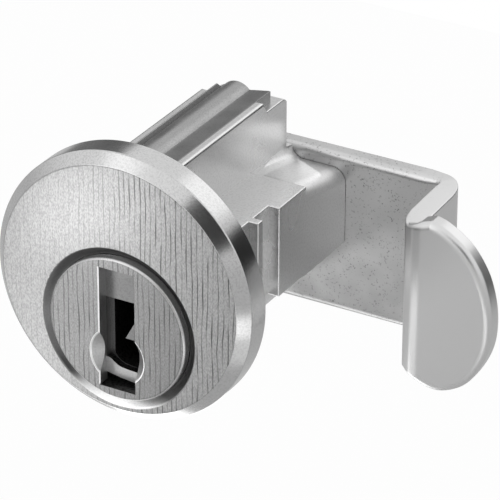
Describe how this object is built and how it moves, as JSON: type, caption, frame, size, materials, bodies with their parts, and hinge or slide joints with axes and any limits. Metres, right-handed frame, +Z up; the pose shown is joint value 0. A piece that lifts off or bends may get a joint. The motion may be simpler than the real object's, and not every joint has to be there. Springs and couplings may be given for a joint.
{
  "type": "mailbox lock",
  "caption": "Mailbox cam lock: round bevelled bezel, offset pin tumbler plug, ribbed pin housing, clip grooves on side wings, and a stamped hook cam that turns a quarter turn.",
  "frame": {"origin": "centre of the round bezel on its back face, where it seats on the door", "axes": "+Y into the door along the lock, +X to the right seen from the front and along the cam, +Z up"},
  "size_m": [0.0426, 0.0319, 0.027],
  "materials": {
    "case_metal": "nickel plated zinc die casting, fine vertical brushing on the bezel face",
    "cover_metal": "dull plated strip with drawn lines along it",
    "plug_metal": "nickel plated, fine vertical brushing on the face",
    "cam_steel": "zinc plated stamped steel with a fine speckle",
    "fastener_steel": "zinc plated steel",
    "pin_brass": "turned brass",
    "spring_steel": "bright spring wire"
  },
  "bodies": {
    "case": {"case": "case_metal", "chamber_cover": "cover_metal", "pin_spring_1": "spring_steel", "pin_spring_2": "spring_steel", "pin_spring_3": "spring_steel", "pin_spring_4": "spring_steel", "pin_spring_5": "spring_steel"},
    "plug": {"plug": "plug_metal", "stop_washer": "fastener_steel", "cam": "cam_steel", "lock_washer": "fastener_steel", "cam_screw": "fastener_steel"},
    "driver_pin_1": {"driver_pin_1": "pin_brass"},
    "key_pin_1": {"key_pin_1": "pin_brass"},
    "driver_pin_2": {"driver_pin_2": "pin_brass"},
    "key_pin_2": {"key_pin_2": "pin_brass"},
    "driver_pin_3": {"driver_pin_3": "pin_brass"},
    "key_pin_3": {"key_pin_3": "pin_brass"},
    "driver_pin_4": {"driver_pin_4": "pin_brass"},
    "key_pin_4": {"key_pin_4": "pin_brass"},
    "driver_pin_5": {"driver_pin_5": "pin_brass"},
    "key_pin_5": {"key_pin_5": "pin_brass"}
  },
  "joints": [
    {"name": "plug_turn", "type": "hinge", "parent": "case", "child": "plug", "pos_m": [0, 0, -0.00393], "axis": [0, -1, 0], "range_deg": [0, 90]},
    {"name": "driver_pin_1_drop", "type": "slide", "parent": "case", "child": "driver_pin_1", "axis": [0, 0, 1], "range_m": [-0.00155, 0], "stiffness_N_per_m": 100, "springref_m": -0.006, "deforming": ["pin_spring_1"]},
    {"name": "key_pin_1_drop", "type": "slide", "parent": "plug", "child": "key_pin_1", "axis": [0, 0, 1], "range_m": [-0.00155, 0]},
    {"name": "driver_pin_2_drop", "type": "slide", "parent": "case", "child": "driver_pin_2", "axis": [0, 0, 1], "range_m": [-0.00085, 0], "stiffness_N_per_m": 100, "springref_m": -0.006, "deforming": ["pin_spring_2"]},
    {"name": "key_pin_2_drop", "type": "slide", "parent": "plug", "child": "key_pin_2", "axis": [0, 0, 1], "range_m": [-0.00085, 0]},
    {"name": "driver_pin_3_drop", "type": "slide", "parent": "case", "child": "driver_pin_3", "axis": [0, 0, 1], "range_m": [-0.0019, 0], "stiffness_N_per_m": 100, "springref_m": -0.006, "deforming": ["pin_spring_3"]},
    {"name": "key_pin_3_drop", "type": "slide", "parent": "plug", "child": "key_pin_3", "axis": [0, 0, 1], "range_m": [-0.0019, 0]},
    {"name": "driver_pin_4_drop", "type": "slide", "parent": "case", "child": "driver_pin_4", "axis": [0, 0, 1], "range_m": [-0.0012, 0], "stiffness_N_per_m": 100, "springref_m": -0.006, "deforming": ["pin_spring_4"]},
    {"name": "key_pin_4_drop", "type": "slide", "parent": "plug", "child": "key_pin_4", "axis": [0, 0, 1], "range_m": [-0.0012, 0]},
    {"name": "driver_pin_5_drop", "type": "slide", "parent": "case", "child": "driver_pin_5", "axis": [0, 0, 1], "range_m": [-0.00155, 0], "stiffness_N_per_m": 100, "springref_m": -0.006, "deforming": ["pin_spring_5"]},
    {"name": "key_pin_5_drop", "type": "slide", "parent": "plug", "child": "key_pin_5", "axis": [0, 0, 1], "range_m": [-0.00155, 0]}
  ],
  "couplings": [
    {"joint": "key_pin_1_drop", "follows": "driver_pin_1_drop", "ratio": 1},
    {"joint": "key_pin_2_drop", "follows": "driver_pin_2_drop", "ratio": 1},
    {"joint": "key_pin_3_drop", "follows": "driver_pin_3_drop", "ratio": 1},
    {"joint": "key_pin_4_drop", "follows": "driver_pin_4_drop", "ratio": 1},
    {"joint": "key_pin_5_drop", "follows": "driver_pin_5_drop", "ratio": 1}
  ]
}
